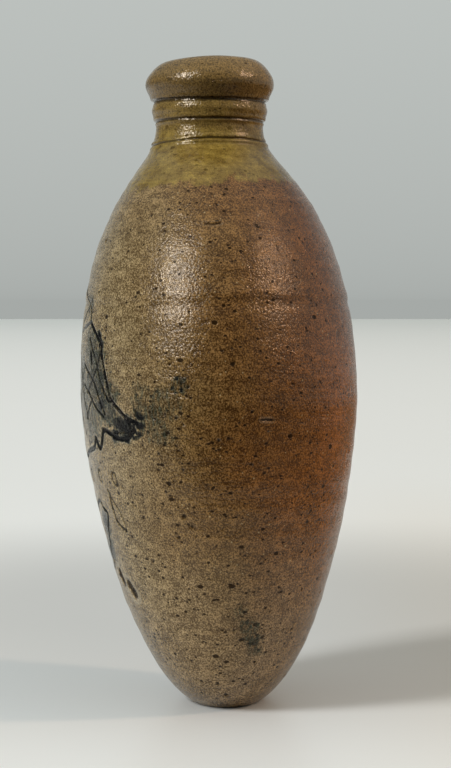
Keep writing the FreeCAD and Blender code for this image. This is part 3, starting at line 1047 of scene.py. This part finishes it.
    # Cuts show dark clay, and their burr is paler. Cobalt is grey where thin and black in the cuts.
    cut = add(tree, "Attribute", {"attribute_name": "cut"}, {}, "Fac")
    bottom = add(tree, "MapRange", SOFT, {0: cut, 1: 0.05, 2: 0.8, 3: 0.0, 4: 0.9})
    burr = add(tree, "MapRange", SOFT, {0: cut, 1: -0.2, 2: -0.9, 3: 0.0, 4: 0.35})
    brushed = add(
        tree, "TexNoise", {},
        {"Vector": runny, "Scale": 1 / BRUSH_SIZE, "Detail": 2.0, "Roughness": 0.6},
    )
    brushed = add(tree, "MapRange", {}, {0: brushed, 1: 0.35, 2: 0.65, 3: 0.45, 4: 1.5})
    run = add(tree, "Math", TIMES, {0: cobalt, 1: brushed})
    thin_blue = add(tree, "MapRange", SOFT, {0: run, 1: 0.04, 2: 0.50, 3: 0.0, 4: 0.92})
    thick_blue = add(tree, "MapRange", SOFT, {0: run, 1: 0.45, 2: 0.80, 3: 0.0, 4: 0.97})
    wash = add(tree, "VectorMath", TIMES, {0: linear(THIN_COBALT)[:3], 1: shade})
    wash = add(tree, "VectorMath", {"operation": "SCALE"}, {0: wash, "Scale": brushed})
    colour = add(tree, "Mix", COLOURS, {0: thin_blue, 6: colour, 7: wash}, 2)
    colour = add(tree, "Mix", COLOURS, {0: burr, 6: colour, 7: linear(BURR_CLAY)}, 2)
    colour = add(tree, "Mix", COLOURS, {0: bottom, 6: colour, 7: linear(CUT_CLAY)}, 2)
    colour = add(tree, "Mix", COLOURS, {0: thick_blue, 6: colour, 7: linear(THICK_COBALT)}, 2)

    # Orange peel: low domes a little under a millimetre across, with the grain over them
    peel = add(
        tree, "TexVoronoi", {"feature": "SMOOTH_F1"},
        {"Vector": place, "Scale": 1 / PEEL_SIZE, "Smoothness": 0.4},
    )
    relief = add(tree, "Math", TIMES, {0: peel, 1: -0.10})
    relief = add(tree, "Math", {"operation": "MULTIPLY_ADD"}, {0: mottle, 1: 0.10, 2: relief})
    relief = add(tree, "Math", {"operation": "MULTIPLY_ADD"}, {0: blotch, 1: 0.22, 2: relief})
    relief = add(tree, "Math", {"operation": "MULTIPLY_ADD"}, {0: streak, 1: 0.08, 2: relief})
    relief = add(tree, "Math", {"operation": "MULTIPLY_ADD"}, {0: pits, 1: -0.16, 2: relief})
    calm = add(tree, "MapRange", {}, {0: pooled, 1: 0.0, 2: 1.0, 3: 1.0, 4: 0.75})
    relief = add(tree, "Math", TIMES, {0: relief, 1: calm})
    bump = add(tree, "Bump", {}, {"Strength": 1.0, "Distance": 0.001, "Height": relief})

    # Gloss: smoother on pale grain and on pooled glaze, and dry on iron, cobalt and cut clay
    gloss = add(tree, "MapRange", {}, {0: grain, 1: 0.40, 2: 0.60, 3: 0.25, 4: 0.12})
    gloss = add(tree, "Math", {"operation": "MULTIPLY_ADD"}, {0: pooled, 1: -0.04, 2: gloss})
    dull = add(tree, "Math", {"operation": "MAXIMUM"}, {0: pits, 1: thick_blue})
    dull = add(tree, "Math", {"operation": "MAXIMUM"}, {0: dull, 1: bottom})
    dry_blue = add(tree, "Math", TIMES, {0: thin_blue, 1: 0.85})
    dull = add(tree, "Math", {"operation": "MAXIMUM"}, {0: dull, 1: dry_blue})
    shine = add(tree, "MapRange", {}, {0: dull, 1: 0.0, 2: 1.0, 3: 0.5, 4: 0.12})
    shader = add(
        tree, "BsdfPrincipled", {},
        {
            "Base Color": colour, "Roughness": gloss, "IOR": 1.5, "Specular IOR Level": shine,
            "Specular Tint": linear(GLAZE_TINT), "Normal": bump,
        },
    )
    tree.links.new(shader, tree.nodes.new("ShaderNodeOutputMaterial").inputs["Surface"])
    return material


piece.data.materials.append(stoneware())


# The board: its radius, the white near the flask and far off with the distances of the two, painted
# darker far off as painted fall-off of light, and the painted warm bounce light at the right
TABLE_RADIUS = 13.4
TABLE_POINTS = 256
BOARD_WHITE_WITH_PAINTED_FALLOFF = [(0.0, "EEF0EE"), (1.0, "E5EAE8")]
PAINTED_WARM_BOUNCE = "F7EFE6"

# Cloths that lie on the board outside the picture: name, middle, length and width, turn in degrees,
# colour. They lie so flat that their edges don't show.
CLOTHS = [
    ("black_cloth", (1.37, 0.0), (2.46, 3.0), 0, "15130F"),
    ("brown_cloth", (-0.95, 0.98), (2.60, 1.40), -7, "8C6C4A"),
]
CLOTH_LIFT = 0.00005

# Soft lamps: name, turn and rise as seen from the flask in degrees, width and height in metres,
# watts, colour
LAMP_REACH = 24.0
LAMPS = [
    ("left_window", -53, 34, 5.2, 10.0, 4800.0, "FBFDFF"),
    ("right_lamp", 80, 35, 2.2, 4.0, 1500.0, "FFDCC0"),
]

# The room's paint, and how brightly the backdrop shows at the board's edge and above it
ROOM_WHITE = "F9FFFB"
BACKDROP_LOW = 0.40
BACKDROP_HIGH = 0.53

# The camera: place, tilt, and a long lens on a full sensor in millimetres
CAMERA_PLACE = (0.6353, -0.0002, 0.1189)
CAMERA_PITCH = math.radians(2.255)
SENSOR_HEIGHT = 36
LENS = 100
CLIP_START = 0.01


def painted_board():
    """Board with a rolled coat of white satin paint, as a photographer's table. The eye sees a white that
    gives back a blurred reflection. Light is also painted on it: a little darker far off as painted
    fall-off of light, greyer behind the flask as a painted shadow, and warmer at the right of the flask
    as painted warm bounce light."""
    material = bpy.data.materials.new("white_satin_painted_board")
    material.use_nodes = True
    tree = material.node_tree
    shader = tree.nodes["Principled BSDF"]
    shader.inputs["Roughness"].default_value = 0.38
    from_object = add(tree, "TexCoord", {}, {}, "Object")
    away = add(tree, "VectorMath", {"operation": "LENGTH"}, {0: from_object}, "Value")
    # Painted fall-off of light: the white is painted a little darker and greener far from the flask
    share = add(tree, "MapRange", {}, {0: away, 1: 1.5, 2: 10.0})
    white = add(tree, "ValToRGB", {}, {"Fac": share}, stops=BOARD_WHITE_WITH_PAINTED_FALLOFF)
    # Painted shadow: the white is greyed in a soft patch behind the flask, where the flask's shadow falls
    behind = {0: from_object, 1: (-0.20, 0.0, 0.0)}
    painted_shadow_behind_flask = add(tree, "VectorMath", {"operation": "DISTANCE"}, behind, "Value")
    painted_shadow_behind_flask = add(tree, "MapRange", SOFT, {0: painted_shadow_behind_flask, 1: 0.06, 2: 0.36, 3: 0.64, 4: 1.0})
    white = add(tree, "VectorMath", {"operation": "SCALE"}, {0: white, "Scale": painted_shadow_behind_flask})
    # Painted warm bounce light: the white is tinted warmer at the right of the flask, less so further off
    across = add(tree, "SeparateXYZ", {}, {0: from_object}, 1)
    painted_warm_bounce = add(tree, "MapRange", SOFT, {0: across, 1: 0.0, 2: 0.12})
    near = add(tree, "MapRange", SOFT, {0: away, 1: 0.1, 2: 0.9, 3: 1.0, 4: 0.15})
    painted_warm_bounce = add(tree, "Math", TIMES, {0: painted_warm_bounce, 1: near})
    painted_warm_bounce = add(tree, "Mix", COLOURS, {0: painted_warm_bounce, 6: (1.0, 1.0, 1.0, 1.0), 7: linear(PAINTED_WARM_BOUNCE)}, 2)
    white = add(tree, "VectorMath", TIMES, {0: white, 1: painted_warm_bounce})
    tree.links.new(white, shader.inputs["Base Color"])
    return material


def felt(board, name, colour):
    """Brushed wool felt, which gives back little light. Only the flask meets it, in what its glaze
    mirrors: looked at directly, the cloth shows the white board that it lies on."""
    material = board.copy()
    material.name = name.replace("cloth", "wool_felt")
    tree = material.node_tree
    white = tree.nodes["Principled BSDF"].outputs[0]
    seen = add(tree, "LightPath", {}, {}, "Is Camera Ray")
    wool = add(tree, "BsdfDiffuse", {}, {"Color": linear(colour)})
    surface = add(tree, "MixShader", {}, {0: seen, 1: wool, 2: white})
    tree.links.new(surface, tree.nodes["Material Output"].inputs["Surface"])
    return material


def table_with_cloths():
    """The white board, and the dark cloths on it that keep its white out of the glaze."""
    bpy.ops.object.select_all(action="DESELECT")
    bpy.ops.mesh.primitive_circle_add(
        vertices=TABLE_POINTS, radius=TABLE_RADIUS, fill_type="NGON", location=(CAMERA_PLACE[0], 0, 0)
    )
    table = bpy.context.object
    table.name = "table"
    bpy.ops.object.transform_apply(location=True, rotation=True, scale=True)
    board = painted_board()
    table.data.materials.append(board)

    for layer, (name, middle, sides, turn, colour) in enumerate(CLOTHS, start=1):
        bpy.ops.mesh.primitive_plane_add(
            size=1, location=(*middle, layer * CLOTH_LIFT), rotation=(0, 0, math.radians(turn))
        )
        cloth = bpy.context.object
        cloth.name = name
        cloth.scale = (*sides, 1)
        bpy.ops.object.transform_apply(location=True, rotation=True, scale=True)
        cloth.data.materials.append(felt(board, name, colour))
        cloth.visible_shadow = False


def room():
    """A grey backdrop behind the flask. The rest of the room is dark, with a pale ceiling and walls
    that are a little paler at the left and more so at the right. Only surfaces meet the dark: looked
    at directly, the backdrop goes all round."""
    world = bpy.data.worlds.new("studio")
    bpy.context.scene.world = world
    world.use_nodes = True
    tree = world.node_tree
    way = add(tree, "TexCoord", {}, {}, "Generated")
    forward = add(tree, "SeparateXYZ", {}, {0: way}, 0)
    across = forward.node.outputs[1]
    up = forward.node.outputs[2]
    backdrop = add(tree, "MapRange", {}, {0: up, 1: 0.0, 2: 0.14})
    backdrop = add(tree, "Math", {"operation": "POWER"}, {0: backdrop, 1: 0.5})
    backdrop = add(tree, "MapRange", {}, {0: backdrop, 3: BACKDROP_LOW, 4: BACKDROP_HIGH})
    left = add(tree, "MapRange", SOFT, {0: across, 1: -0.2, 2: -0.9, 3: 0.0, 4: 0.13})
    right = add(tree, "MapRange", SOFT, {0: across, 1: 0.3, 2: 0.95, 3: 0.0, 4: 0.46})
    dark = add(tree, "MapRange", SOFT, {0: up, 1: 0.35, 2: 1.0, 3: 0.03, 4: 0.62})
    dark = add(tree, "Math", PLUS, {0: dark, 1: left})
    dark = add(tree, "Math", PLUS, {0: dark, 1: right})
    behind = add(tree, "MapRange", SOFT, {0: forward, 1: -0.97, 2: -0.72, 3: 1.0, 4: 0.0})
    seen = add(tree, "LightPath", {}, {}, "Is Camera Ray")
    paper = add(tree, "Math", {"operation": "MAXIMUM"}, {0: behind, 1: seen})
    strength = add(tree, "Mix", {"data_type": "FLOAT"}, {0: paper, 2: dark, 3: backdrop})
    background = tree.nodes["Background"]
    background.inputs["Color"].default_value = linear(ROOM_WHITE)
    tree.links.new(strength, background.inputs["Strength"])


def soft_lamps():
    """A window at the left and a lamp at the right, both far off, so that the light is even."""
    for name, turn, rise, width, tall, power, colour in LAMPS:
        turn = math.radians(turn)
        rise = math.radians(rise)
        aim = Vector((math.cos(turn) * math.cos(rise), math.sin(turn) * math.cos(rise), math.sin(rise)))
        place = aim * LAMP_REACH + Vector((0, 0, HEIGHT / 2))
        facing = aim.to_track_quat("Z", "Y").to_euler()
        bpy.ops.object.light_add(type="AREA", location=place, rotation=facing)
        lamp = bpy.context.object
        lamp.name = name
        lamp.data.shape = "RECTANGLE"
        lamp.data.size = width
        lamp.data.size_y = tall
        lamp.data.energy = power
        lamp.data.color = linear(colour)[:3]


def photographer():
    """A long lens at the photograph's height and tilt, level with the belly."""
    facing = (math.pi / 2 - CAMERA_PITCH, 0, math.pi / 2)
    bpy.ops.object.camera_add(location=CAMERA_PLACE, rotation=facing)
    camera = bpy.context.object
    camera.data.sensor_fit = "VERTICAL"
    camera.data.sensor_height = SENSOR_HEIGHT
    camera.data.lens = LENS
    camera.data.clip_start = CLIP_START
    bpy.context.scene.camera = camera
    bpy.context.scene.view_settings.view_transform = "Standard"


table_with_cloths()
room()
soft_lamps()
photographer()
